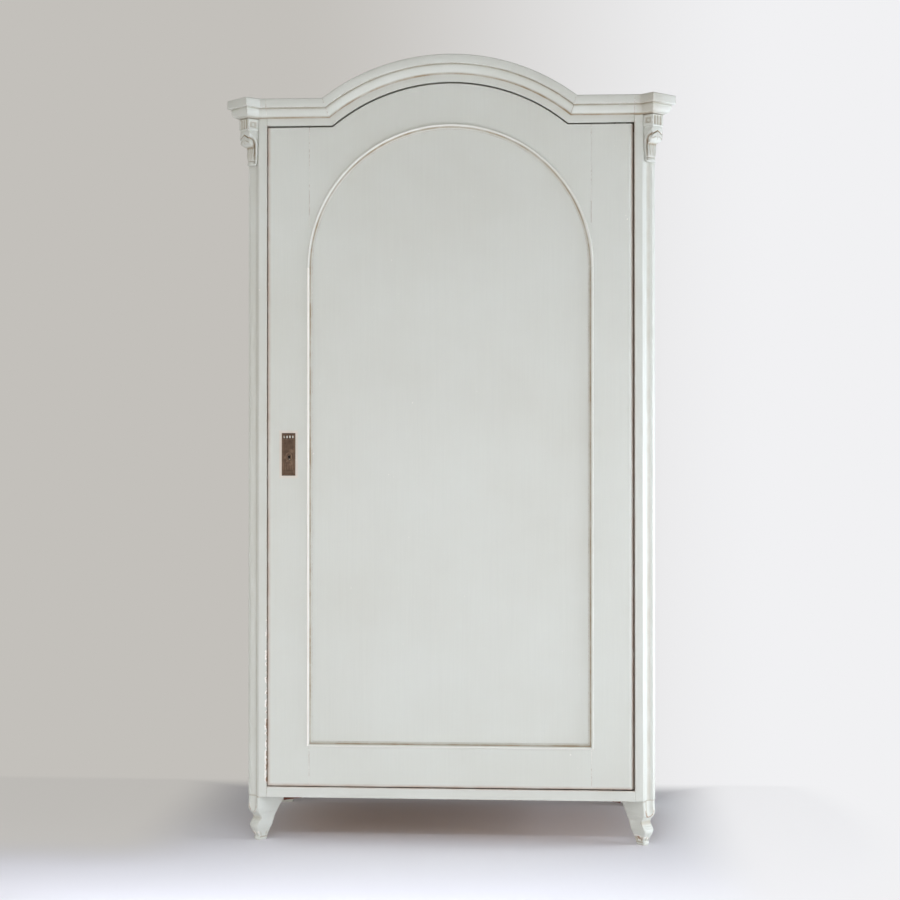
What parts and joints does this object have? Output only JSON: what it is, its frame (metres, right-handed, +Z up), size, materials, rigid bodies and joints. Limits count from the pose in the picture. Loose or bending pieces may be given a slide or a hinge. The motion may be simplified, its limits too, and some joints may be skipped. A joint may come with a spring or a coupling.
{
  "type": "bonnetiere cabinet",
  "caption": "Tall painted wooden cupboard with canted fluted corners, an arched cornice and one full-height arched door on pivot hinges; shelves inside.",
  "frame": {"origin": "on the floor under the middle of the cabinet's overall width and depth, capitals included", "axes": "+X to the right of someone who faces the door, +Y from the door to the back, +Z up"},
  "size_m": [1.116, 0.571, 1.9525],
  "materials": {
    "painted_pine": "pale grey-green eggshell paint, worn to brown wood on the edges",
    "bare_pine": "old unpainted pine, planed and waxed by use",
    "aged_brass": "stamped brass gone brown, rubbed lighter on the raised parts",
    "dark_iron": "oiled dark iron with a little rust"
  },
  "bodies": {
    "carcass": {"post_front_left": "painted_pine", "post_front_right": "painted_pine", "post_rear_left": "painted_pine", "post_rear_right": "painted_pine", "strike_plate": "dark_iron", "foot_front_left": "painted_pine", "foot_front_right": "painted_pine", "foot_rear_left": "painted_pine", "foot_rear_right": "painted_pine", "base_rail_left": "painted_pine", "base_rail_right": "painted_pine", "base_rail_front": "painted_pine", "base_rail_rear": "bare_pine", "top_rail_left": "painted_pine", "top_rail_right": "painted_pine", "top_rail_rear": "bare_pine", "side_panel_left": "painted_pine", "side_panel_right": "painted_pine", "bottom_board": "bare_pine", "top_board": "bare_pine", "back_board_1": "bare_pine", "back_board_2": "bare_pine", "back_board_3": "bare_pine", "frieze_rail": "painted_pine", "head_board": "bare_pine", "door_stop_left": "painted_pine", "door_stop_right": "painted_pine", "crown_arch": "painted_pine", "crown_front_left": "painted_pine", "crown_front_right": "painted_pine", "capital_left": "painted_pine", "capital_right": "painted_pine", "crown_side_left": "painted_pine", "crown_side_right": "painted_pine", "corbel_left": "painted_pine", "corbel_right": "painted_pine", "pivot_socket_bottom": "dark_iron", "pivot_socket_top": "dark_iron", "shelf_1": "bare_pine", "shelf_2": "bare_pine", "shelf_batten_1_left": "bare_pine", "shelf_batten_1_right": "bare_pine", "shelf_batten_2_left": "bare_pine", "shelf_batten_2_right": "bare_pine"},
    "door": {"pivot_plate_bottom": "dark_iron", "pivot_plate_top": "dark_iron", "door_stile_lock": "painted_pine", "door_stile_hinge": "painted_pine", "door_rail_top": "painted_pine", "door_rail_bottom": "painted_pine", "door_panel": "painted_pine", "moulding_arch": "painted_pine", "moulding_left": "painted_pine", "moulding_right": "painted_pine", "moulding_bottom": "painted_pine", "escutcheon_plate": "aged_brass", "lock_case": "dark_iron", "lock_cover": "dark_iron", "bolt_spring": "dark_iron"},
    "lock_bolt": {"lock_bolt": "dark_iron"}
  },
  "joints": [
    {"name": "door_hinge", "type": "hinge", "parent": "carcass", "child": "door", "pos_m": [0.4405, -0.22202, 1], "axis": [0, 0, 1], "range_deg": [0, 95]},
    {"name": "lock_bolt_slide", "type": "slide", "parent": "door", "child": "lock_bolt", "axis": [-1, 0, 0], "range_m": [0, 0.01]}
  ]
}
